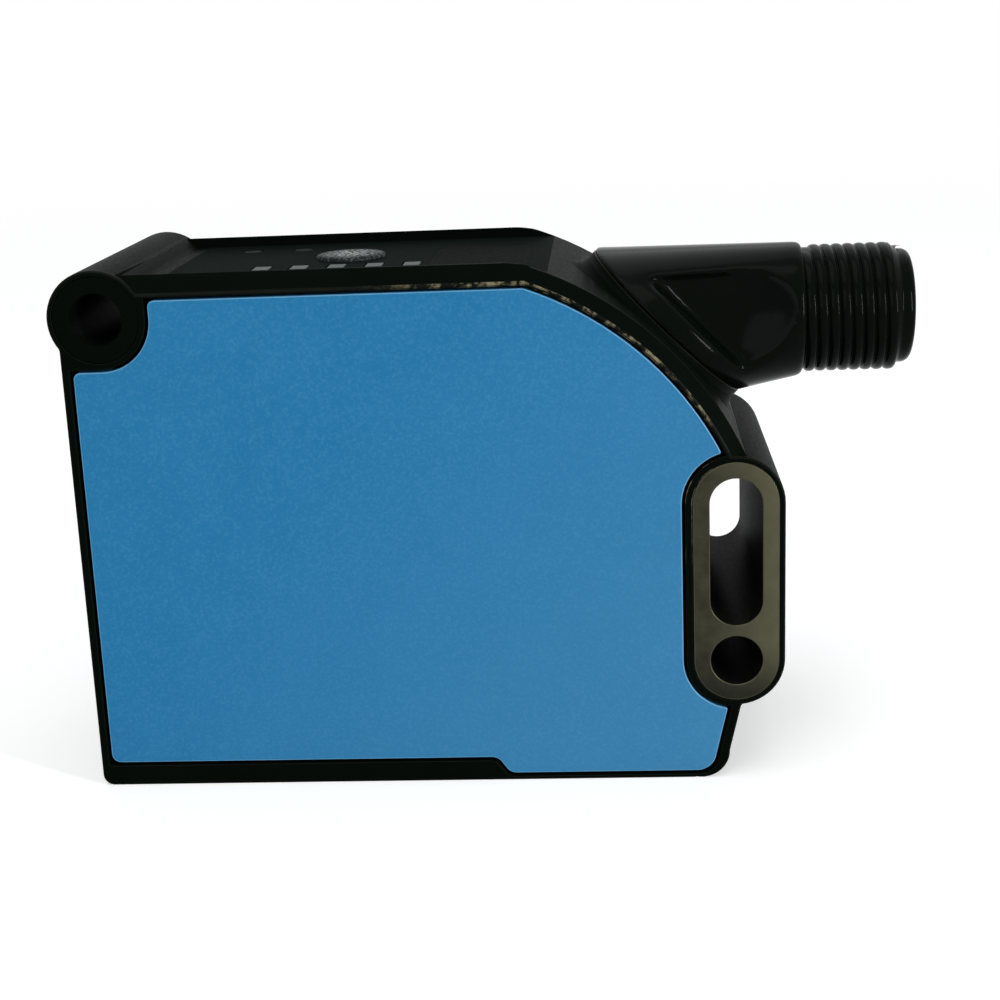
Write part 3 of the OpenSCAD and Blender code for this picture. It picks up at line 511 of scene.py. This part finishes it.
# Painted highlight: the specks grow brighter towards the crown.
crown = add(speckled.tree, "MapRange", {"Value": outward.outputs["Value"], "From Min": 3.0 * MM,
                                        "From Max": 0.5 * MM})
painted_glint = add(speckled.tree, "Mix", {0: crown.outputs[0], 6: tone("#4d5453"), 7: tone("#dadedc")},
            data_type="RGBA")
specks = add(speckled.tree, "MapRange", {"Value": speckled.grain, "From Min": 0.48,
                                         "From Max": 0.64})
with_painted_glints = add(speckled.tree, "Mix", {0: specks.outputs[0], 6: speckled.colour,
                                      7: painted_glint.outputs[2]}, data_type="RGBA")
speckled.tree.links.new(with_painted_glints.outputs[2], speckled.base)

# Nitrile rubber: dull black.
rubber = plain("nitrile_rubber", ("#101010", "#191919"), 2.0, (0.6, 0.75), 0.15, 0.003)

# Optical glass, polished.
glass = plain("polished_optical_glass", ("#eef6f8", "#f6fbfc"), 10.0, (0.0, 0.03), 2.0, 0.0,
              IOR=1.5, **{"Transmission Weight": 1.0})

# Green solder mask over glass fibre weave.
board = plain("green_solder_mask", ("#0d4a2a", "#12603a"), 3.0, (0.25, 0.4), 0.4, 0.003)

# Moulded epoxy chip cases: dull near black.
epoxy = plain("moulded_epoxy", ("#141416", "#1d1d20"), 1.5, (0.5, 0.62), 0.12, 0.003)

# Zinc-plated steel screws and the darker spring steel of the retaining ring.
plated = plain("zinc_plated_steel", ("#a4a7a8", "#c4c6c6"), 0.8, (0.25, 0.4), 0.15, 0.002,
               Metallic=1.0)
spring = plain("spring_steel", ("#7c7e82", "#96989b"), 1.0, (0.28, 0.42), 0.12, 0.002,
               Metallic=1.0)

# Gold-plated brass pins: warm and bright.
gold = plain("gold_plated_brass", ("#c79a3e", "#dcb45c"), 0.8, (0.18, 0.28), 0.1, 0.001,
             Metallic=1.0)

# Drawn aluminium can of the capacitor, pale resin of the small lights, white header.
drawn = plain("drawn_aluminium", ("#a9acad", "#bfc2c3"), 1.5, (0.3, 0.42), 0.2, 0.002,
              Metallic=1.0)
resin = plain("pale_led_resin", ("#e8e0b8", "#f2ecd0"), 0.6, (0.2, 0.3), 0.2, 0.001)
nylon = plain("white_nylon", ("#d2d0c4", "#e0ded4"), 1.5, (0.45, 0.6), 0.15, 0.003)

# Dull black optics, the display's glass and case, the lead's sheath and the contact carrier.
dull = plain("dull_black_polycarbonate", ("#090909", "#111111"), 2.0, (0.6, 0.75), 0.15, 0.004)
display_case = plain("display_glass_and_case", ("#131517", "#1b1e21"), 2.0, (0.2, 0.35), 0.3,
                     0.001)
sheath = plain("black_pvc_sheath", ("#121212", "#1b1b1b"), 2.0, (0.5, 0.65), 0.2, 0.003)
carrier = plain("black_contact_carrier_polyamide", ("#0d0f0e", "#151817"), 1.5, (0.45, 0.6), 0.2,
                0.003)


# Pieces of the housing

# Corners of a cover's outline, as x, z and the radius they are rounded to
COVER_CORNERS = [(4.5, 1.5, 0.6), (-2.47, -4.5, 0.6), (-2.9, -40.65, 0.8), (32.3, -40.65, 0.5),
                 (33.38, -42.2, 0.5), (51.44, -42.2, 1.3), (52.82, -36.23, 0.2),
                 (52.43, -13.05, 0.25)]
CORNER_NEAR = 0.35


def corner_width(edge):
    """Radius of the edges across the housing at the corners of a cover and of its opening."""
    middle = middle_of(edge)
    lean = (edge.verts[0].co - edge.verts[1].co).xz.length / MM
    if lean > 0.01 or abs(middle.y) < SEAT_Y:
        return 0
    for x, z, radius in COVER_CORNERS:
        if math.hypot(middle.x - x, middle.z - z) < CORNER_NEAR:
            return radius
    return 0


def kink_width(edge):
    """Large radius where the rim turns down into the shoulder."""
    on_kink = all(abs(vertex.co.x / MM - KINK_X) < NEAR for vertex in edge.verts)
    return KINK_EDGE if on_kink and least(edge, 2) > PANEL_Z else 0


def side_width(edge, middle):
    """How far the edges of the housing's outer side faces are rounded."""
    if abs(min(reach(face) for face in edge.link_faces) - SEAT_Y) < 2 * NEAR:
        return OPENING_EDGE
    bore = min(math.hypot(middle.x, middle.z), distance_to_slot(middle))
    if bore < BOSS_R - 2 * NEAR:
        return OPENING_EDGE
    if bore < BOSS_R + 2 * NEAR:
        return BOSS_EDGE
    return HIGH_SIDE_EDGE if middle.z > 1.0 else LOW_SIDE_EDGE


def frame_width(edge):
    """How far each edge of the frame is rounded."""
    middle = middle_of(edge)
    out, height = swivel_place(middle)
    if abs(out - FLANGE_R) < 2 * NEAR and middle.x > KINK_X:
        if abs(height) < NEAR:
            return TURRET_EDGE
        if -TURRET_DEPTH < height < 0:
            return 0
    if reach(edge) > SIDE_Y - NEAR:
        return side_width(edge, middle)
    if reach(edge) > RIM_Y - NEAR and middle.z > RIM_Z - 2 * NEAR:
        return RIM_EDGE
    on_shoulder = abs((middle - SHOULDER).xz.length - SHOULDER_R) < 2 * NEAR
    return SHOULDER_EDGE if on_shoulder and reach(edge) > RIM_Y + NEAR else 0


shell = cad_copy("housing_frame", "moulded_frame", black, rubbed_and_highlit.material)
soften(shell, kink_width, segments=8, sharp=5, edge_wear_and_painted_light=False)
soften(shell, corner_width, segments=6, edge_wear_and_painted_light=False)
soften(shell, frame_width)
for vertex in shell.data.vertices:
    vertex.co.z = max(vertex.co.z, FLOOR_Z * MM)
smooth(shell)
fit_out(shell, "housing")

# Fillet where the turret's two ends meet the shoulder: a hollow ring whose foot lies under the
# surface, and at the sides all of it
FILLET_R = 1.5
FILLET_TOP = -0.739
FILLET_FOOT = -2.6
FILLET_TURN = 70.45
FILLET_STEPS = 10
fillet_profile = [(FLANGE_R - 0.6, FILLET_TOP)]
for step in range(FILLET_STEPS + 1):
    angle = math.radians(180 + FILLET_TURN * step / FILLET_STEPS)
    fillet_profile.append((FLANGE_R + FILLET_R * (1 + math.cos(angle)),
                           FILLET_TOP + FILLET_R * math.sin(angle)))
fillet_profile += [(FLANGE_R + 1.0, FILLET_FOOT), (FLANGE_R - 0.6, FILLET_FOOT)]
fillet = turned("turret_fillet", fillet_profile, SWIVEL, SWIVEL_AXIS, sides=160)
smooth(fillet, 40)
fit_out(fillet, "housing", black, "housing_frame")

for side in ("left", "right"):
    plate = cad_copy(side + "_cover", "blue_cover_" + side, coat.material, coat_edge_highlight)
    soften(plate, corner_width, segments=6, edge_wear_and_painted_light=False)
    soften(plate, lambda edge: COVER_EDGE if reach(edge) > COVER_Y - NEAR else 0)
    smooth(plate)
    fit_out(plate, "housing")


def sleeve_width(edge):
    """Rounds the edges of a sleeve's two end faces."""
    return SLEEVE_EDGE if reach(edge) > SIDE_Y - NEAR else 0


slot_sleeve = cad_copy("slot_sleeve", "slot_sleeve_dressed", olive.material, olive_edge_shade, anodised)
soften(slot_sleeve, sleeve_width)
for face in slot_sleeve.data.polygons:
    if abs(face.normal.y) < 0.1:
        face.material_index = 2
smooth(slot_sleeve)
fit_out(slot_sleeve, "housing")

corner_sleeve = cad_copy("corner_sleeve", "corner_sleeve_dressed", black)
soften(corner_sleeve, sleeve_width)
smooth(corner_sleeve)
fit_out(corner_sleeve, "housing")


# Pieces of the panel and the underside

def fill_recess(piece, margin=0.7, widening=0.085):
    """Moves a flat piece's sides out, so that no gap shows around it."""
    low = [min(vertex.co[k] for vertex in piece.data.vertices) for k in (0, 1)]
    high = [max(vertex.co[k] for vertex in piece.data.vertices) for k in (0, 1)]
    for vertex in piece.data.vertices:
        for k in (0, 1):
            if vertex.co[k] < low[k] + margin * MM:
                vertex.co[k] -= widening * MM
            if vertex.co[k] > high[k] - margin * MM:
                vertex.co[k] += widening * MM


def run_out(piece, rear_x=37.0, length=0.86, rise=0.012):
    """Carries the foil's rear end over the flat behind its recess, a hair higher, so that no groove
    shows."""
    for vertex in piece.data.vertices:
        if vertex.co.x > rear_x * MM:
            vertex.co.x += length * MM
        if vertex.co.z > (PANEL_Z - 2 * NEAR) * MM:
            vertex.co.z += rise * MM


panel_foil = cad_copy("control_foil", "panel_foil", foil)
display = cad_copy("display_window", "display_window_dressed", smoked)
fill_recess(panel_foil)
fill_recess(display)
run_out(panel_foil)
for piece, slot in ((panel_foil, "foil"), (display, "display_smoke")):
    smooth(piece)
    fit_out(piece, "housing")

for node, name, slot, material, width in (
        ("indicator_light_guide", "bar_indicators", "light_guide", milky, BAR_EDGE),
        ("status_lens_1", "status_lens_near", "status_grey", status_grey, LENS_EDGE),
        ("status_lens_2", "status_lens_far", "status_grey", status_grey, LENS_EDGE)):
    piece = cad_copy(node, name, material)
    soften(piece, lambda edge: width if least(edge, 2) > PANEL_Z - NEAR else 0)
    smooth(piece)
    fit_out(piece, "housing")

# Teach button: a disc on a wider foot, its crown rounded at the side
button_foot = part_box("teach_button")[0].z / MM
crown_z = BUTTON.z - button_foot
button = turned("teach_button_dressed", [
    (ON_AXIS, 0), (BUTTON_R + 0.5, 0), (BUTTON_R + 0.5, 0.4), (BUTTON_R, 0.4),
    (BUTTON_R, crown_z - 0.32), (BUTTON_R - 0.04, crown_z - 0.18),
    (BUTTON_R - 0.14, crown_z - 0.08), (BUTTON_R - 0.3, crown_z - 0.03),
    (BUTTON_R - 0.8, crown_z - 0.01), (ON_AXIS, crown_z)],
    (BUTTON.x, BUTTON.y, button_foot), (0, 0, 1), sides=72)
smooth(button)
fit_out(button, "teach_button", speckled.material, "teach_button")

pane = cad_copy("front_window", "front_window_dressed", glass)
soften(pane, lambda edge: PANE_EDGE if middle_of(edge).z < FLOOR_Z + 0.5 else 0)
smooth(pane)
fit_out(pane, "housing")


# Connector

def elbow_body():
    """Body that runs from the swivel's round foot to the barrel's end, level on top."""
    run = Vector((math.cos(BARREL_TAPER), 0, math.sin(BARREL_TAPER)))
    down = Vector((math.sin(BARREL_TAPER), 0, -math.cos(BARREL_TAPER)))
    slope = math.sin(BARREL_TAPER)
    back, past = 5.0, 0.6
    start = Vector((BARREL_END, 0, NECK_TOP)) + down * BARREL_R - run * back
    body = cylinder("barrel", BARREL_R + back * slope, start, start + run * (back + past),
                    BARREL_R - past * slope, sides=128)
    saw(body, (BARREL_END, 0, 0), (1, 0, 0))
    foot = cylinder("foot_disc", FLANGE_R, SWIVEL, along_swivel(FOOT_T), sides=160)
    only(body, foot)
    bpy.ops.object.join()
    edit(body)
    bpy.ops.mesh.convex_hull()
    close()
    mend(body)
    soften(body, lambda edge: BARREL_EDGE if middle_of(edge).x > BARREL_END - 0.01 else 0,
           segments=4, sharp=30)
    return body


def grip_cutter(side):
    """Bowl that hollows one side of the elbow, under a level edge and behind the foot's rim."""
    steps, widest, height = 24, 1.25 * GRIP_R, 9
    profile = [(ON_AXIS, 0)]
    for step in range(1, steps + 1):
        radius = widest * step / steps
        profile.append((radius, GRIP_DEPTH * (radius / GRIP_R) ** GRIP_STEEPNESS))
    profile += [(widest, height), (ON_AXIS, height)]
    bowl = turned("grip_bowl", profile, (GRIP_X, side * GRIP_FLOOR_Y, GRIP_Z), (0, side, 0),
                  sides=128)
    saw(bowl, (0, 0, GRIP_TOP_Z), (0, 0, 1))
    saw(bowl, along_swivel(FLANGE_T), -SWIVEL_AXIS)
    mend(bowl)
    return bowl


# Elbow: the bowls' edges are melted into it, which fades out towards the barrel's end and the foot
ELBOW_VOXEL = 0.14
FIRM_AT_BARREL, FADE_AT_BARREL = 0.2, 1.5
FIRM_AT_FOOT, FADE_AT_FOOT = 0.7, 0.6
neck = elbow_body()
cut(neck, grip_cutter(1), grip_cutter(-1))
modify(neck, "REMESH", mode="VOXEL", voxel_size=ELBOW_VOXEL * MM, adaptivity=0.0)
modify(neck, "SMOOTH", factor=0.5, iterations=5)
grips = neck.vertex_groups.new(name="grips")
for vertex in neck.data.vertices:
    place = vertex.co / MM
    from_barrel = (BARREL_END - FIRM_AT_BARREL - place.x) / FADE_AT_BARREL
    from_foot = (swivel_place(place)[1] - FIRM_AT_FOOT) / FADE_AT_FOOT
    share = min(from_barrel, from_foot, 1)
    if share > 0:
        grips.add([vertex.index], share, "REPLACE")
modify(neck, "SMOOTH", factor=0.5, iterations=150, vertex_group="grips")
bend = Vector((SWIVEL.x + 0.6, 0, AXIS_Z))
cut(neck,
    cylinder("chamber", CHAMBER_R, (CARRIER_X, 0, AXIS_Z), (BARREL_END + 2, 0, AXIS_Z)),
    cylinder("lead_way", SPIGOT_BORE_R - 0.2, bend, (CARRIER_X + 1, 0, AXIS_Z)),
    cylinder("lead_way_down", SPIGOT_BORE_R, along_swivel(-2), along_swivel(0.85)))
neck.name = "connector_elbow"

# Key in the chamber, and the pin that stops the swivel
key = block("chamber_key", (CARRIER_X + CARRIER_T + 0.1, -0.6, AXIS_Z + CHAMBER_R - 0.6),
            (TIP_END - 1, 0.6, AXIS_Z + CHAMBER_R + 0.2))
stop = SWIVEL + STOP_CIRCLE_R * SWIVEL_AXIS.cross(Vector((0, -1, 0)))
stop_pin = cylinder("swivel_stop_pin", STOP_PIN_R, stop - 0.7 * SWIVEL_AXIS,
                    stop + 0.1 * SWIVEL_AXIS, sides=48)
for piece in (key, stop_pin):
    soften(piece, lambda edge: KEY_EDGE)

# Spigot in the turret, with the retaining ring's groove and the seal's
spigot = turned("swivel_spigot", [
    (SPIGOT_BORE_R, -6.1), (SPIGOT_R - 0.3, -6.1), (SPIGOT_R, -5.8),
    (SPIGOT_R, -5.55), (SPIGOT_R - 0.8, -5.55), (SPIGOT_R - 0.8, -4.65), (SPIGOT_R, -4.65),
    (SPIGOT_R, -2.6), (SPIGOT_R - 0.9, -2.6), (SPIGOT_R - 0.9, -1.6), (SPIGOT_R, -1.6),
    (SPIGOT_R, FOOT_T), (SPIGOT_BORE_R, FOOT_T)], SWIVEL, SWIVEL_AXIS)

# Sleeve under the thread: its root, the end ring, the cone and the rounded tip
sleeve = turned("threaded_sleeve", [
    (CHAMBER_R, 0), (THREAD_ROOT_R, 0), (THREAD_ROOT_R, 7.35),
    (THREAD_R - 0.06, 7.5), (THREAD_R - 0.06, 7.64),
    (TIP_R + 0.16, 8.12), (TIP_R + 0.05, 8.24), (TIP_R, 8.4), (TIP_R, 8.75),
    (TIP_R - 0.05, 9.0), (TIP_R - 0.18, 9.24), (TIP_R - 0.36, 9.39), (TIP_R - 0.52, 9.45),
    (CHAMBER_R + 0.12, 9.45), (CHAMBER_R, 9.33)], (BARREL_END, 0, AXIS_Z), (1, 0, 0), sides=128)


def thread_ridge():
    """Rounded ridge wound round the sleeve at the thread's pitch; it sinks into the sleeve over a
    sixth of a turn at its start and half a turn at its end."""
    steps = 72
    sinking_in, sinking_out = steps / 6, steps / 2
    crest = THREAD_R - THREAD_ROOT_R
    flank = [(0.46, 0.12), (0.4, 0.42), (0.31, 0.72), (0.19, 0.92), (0.06, 1)]
    section = [(-0.5, -0.1)] + [(-along, crest * share) for along, share in flank]
    section += [(along, crest * share) for along, share in reversed(flank)] + [(0.5, -0.1)]
    ridge = outline("connector_thread", [
        (along * THREAD_PITCH * MM, 0, (THREAD_ROOT_R + out) * MM) for along, out in section])
    modify(ridge, "SCREW", axis="X", angle=math.tau, screw_offset=THREAD_PITCH * MM,
           iterations=THREAD_TURNS, steps=steps, render_steps=steps, use_merge_vertices=False)
    sunk_r = THREAD_ROOT_R - 0.12
    last = len(ridge.data.vertices) // len(section) - 1
    for vertex in ridge.data.vertices:
        ring = vertex.index // len(section)
        grown = math.sin(min(1, ring / sinking_in, (last - ring) / sinking_out) * math.pi / 2)
        radius = math.hypot(vertex.co.y, vertex.co.z) / MM
        kept = (sunk_r + (radius - sunk_r) * grown) / radius
        vertex.co.y *= kept
        vertex.co.z *= kept
    edit(ridge)
    bpy.ops.mesh.fill_holes(sides=0)
    bpy.ops.mesh.select_all(action="SELECT")
    bpy.ops.mesh.normals_make_consistent(inside=False)
    close()
    ridge.location = Vector((BARREL_END + 0.2, 0, AXIS_Z)) * MM
    return settle("connector_thread")


ridge = thread_ridge()
for piece, angle, weighted in ((neck, 40, False), (key, 32, False), (stop_pin, 32, False),
                               (spigot, 32, True), (sleeve, 32, True), (ridge, 50, False)):
    smooth(piece, angle, weighted)
    fit_out(piece, "connector", glossy, "connector_neck")

disc = cad_copy("contact_carrier", "contact_carrier_dressed", carrier)
soften(disc, lambda edge: CARRIER_EDGE if least(edge, 0) > CARRIER_X + CARRIER_T - 0.1 else 0)
smooth(disc)
fit_out(disc, "connector")

for number in range(1, 6):
    pin = cad_copy("contact_pin_%d" % number, "contact_pin_%d_dressed" % number, gold)
    smooth(pin, 50, weighted=False)
    fit_out(pin, "connector")


# Finishes of the pieces that keep their CAD shape

for material, nodes in (
        (rubber, ["left_cover_seal", "right_cover_seal", "window_gasket", "swivel_seal"]),
        (display_case, ["display_module"]),
        (resin, ["indicator_led_%d" % i for i in range(1, 6)]
         + ["status_led_1", "status_led_2", "color_emitter"]),
        (epoxy, ["teach_switch", "microcontroller", "signal_amplifier", "voltage_regulator",
                 "output_driver", "color_receiver"]),
        (board, ["control_board", "main_board", "emitter_board", "receiver_board",
                 "terminal_board"]),
        (plated, ["control_board_screws", "main_board_screws", "optics_screws"]),
        (drawn, ["filter_capacitor"]),
        (dull, ["optics_holder", "aperture_stop"]),
        (glass, ["objective_lens", "beam_splitter", "collimator_lens", "receiver_lens"]),
        (nylon, ["terminal_header"]),
        (sheath, ["connector_lead"]),
        (spring, ["swivel_retaining_ring"])):
    for node in nodes:
        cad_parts[node].material_slots[0].material = material


# Camera, matched to the photograph's viewing angle

CAMERA_PLACE = Vector((43.21, -151.04, 23.21))
YAW, PITCH, ROLL = math.radians(-4.02), math.radians(16.05), math.radians(-2.52)
forward = Vector((math.sin(YAW) * math.cos(PITCH), math.cos(YAW) * math.cos(PITCH),
                  -math.sin(PITCH)))
level = Vector((math.cos(YAW), -math.sin(YAW), 0))
upright = level.cross(forward)
camera_right = math.cos(ROLL) * level + math.sin(ROLL) * upright
camera_up = math.cos(ROLL) * upright - math.sin(ROLL) * level
lens = bpy.data.cameras.new("camera")
lens.sensor_width = 36
lens.sensor_fit = "HORIZONTAL"
lens.lens = 60.557
lens.clip_start = 0.005
camera = bpy.data.objects.new("camera", lens)
bpy.context.scene.collection.objects.link(camera)
camera.matrix_world = Matrix.Translation(CAMERA_PLACE * MM) @ Matrix(
    (camera_right, camera_up, -forward)).transposed().to_4x4()
bpy.context.scene.camera = camera


# Floor and backdrop: white to the camera, in gloss and through glass, and dim to all other rays

def seen_directly(tree):
    """Share that is 1 for camera, glossy and transmission rays."""
    rays = add(tree, "LightPath")
    seen = add(tree, "Math", {0: rays.outputs["Is Camera Ray"], 1: rays.outputs["Is Glossy Ray"]},
               operation="MAXIMUM")
    seen = add(tree, "Math", {0: seen.outputs[0], 1: rays.outputs["Is Transmission Ray"]},
               operation="MAXIMUM")
    return seen.outputs[0]


bpy.ops.mesh.primitive_plane_add(size=6, location=(0, 0, FLOOR_Z * MM))
floor = bpy.context.object
floor.name = "floor"
floor_material = bpy.data.materials.new("pale_floor")
floor_material.use_nodes = True
tree = floor_material.node_tree
tree.nodes.clear()
place = add(tree, "TexCoord").outputs["Object"]
away = add(tree, "VectorMath", {0: place}, operation="LENGTH")
away = add(tree, "MapRange", {"Value": away.outputs["Value"], "From Min": 0.1, "From Max": 0.6},
           interpolation_type="SMOOTHSTEP")
shade = add(tree, "Mix", {0: away.outputs[0], 6: tone("#dcdcdc"), 7: tone("#000000")},
            data_type="RGBA")
brightness = add(tree, "MapRange", {"Value": away.outputs[0], "To Min": 0.5, "To Max": 1.0})
shadowed = add(tree, "BsdfDiffuse", {"Color": shade.outputs[2]})
glow = add(tree, "Emission", {"Color": tone("#ffffff"), "Strength": brightness.outputs[0]})
shown = add(tree, "AddShader", {0: shadowed.outputs[0], 1: glow.outputs[0]})
matt = add(tree, "BsdfDiffuse", {"Color": tone("#dcdcdc")})
surface = add(tree, "MixShader", {0: seen_directly(tree), 1: matt.outputs[0], 2: shown.outputs[0]})
add(tree, "OutputMaterial", {"Surface": surface.outputs[0]})
floor.data.materials.append(floor_material)

world = bpy.data.worlds.new("studio")
bpy.context.scene.world = world
world.use_nodes = True
tree = world.node_tree
tree.nodes.clear()
ambient = add(tree, "Background", {"Color": tone("#f2f5f8"), "Strength": 0.2})
white = add(tree, "Background", {"Color": tone("#ffffff"), "Strength": 1.0})
sky = add(tree, "MixShader", {0: seen_directly(tree), 1: ambient.outputs[0], 2: white.outputs[0]})
add(tree, "OutputWorld", {"Surface": sky.outputs[0]})


# Lamps, placed in metres and all turned to the middle of the object

LIT = Vector((0.03, 0, -0.02))


def lamp(name, place, size, power, colour):
    """Rectangular soft light that faces the object."""
    data = bpy.data.lights.new(name, "AREA")
    data.shape = "RECTANGLE"
    data.size, data.size_y = size
    data.energy = power
    data.color = tone(colour)[:3]
    made = bpy.data.objects.new(name, data)
    bpy.context.scene.collection.objects.link(made)
    made.location = place
    made.rotation_euler = (LIT - Vector(place)).to_track_quat("-Z", "Y").to_euler()


lamp("overhead", (-0.05, -0.15, 0.7), (0.6, 0.6), 2.4, "#ffffff")
lamp("front_fill", (-0.35, -0.75, 0.35), (0.5, 0.5), 1.8, "#fbfdff")
lamp("right_strip", (0.6, -0.36, 0.08), (0.04, 0.4), 4.0, "#ffffff")
lamp("rear_fill", (0.1, 0.65, 0.7), (1.0, 0.8), 2.0, "#fbfdff")

bpy.context.scene.view_settings.view_transform = "Standard"
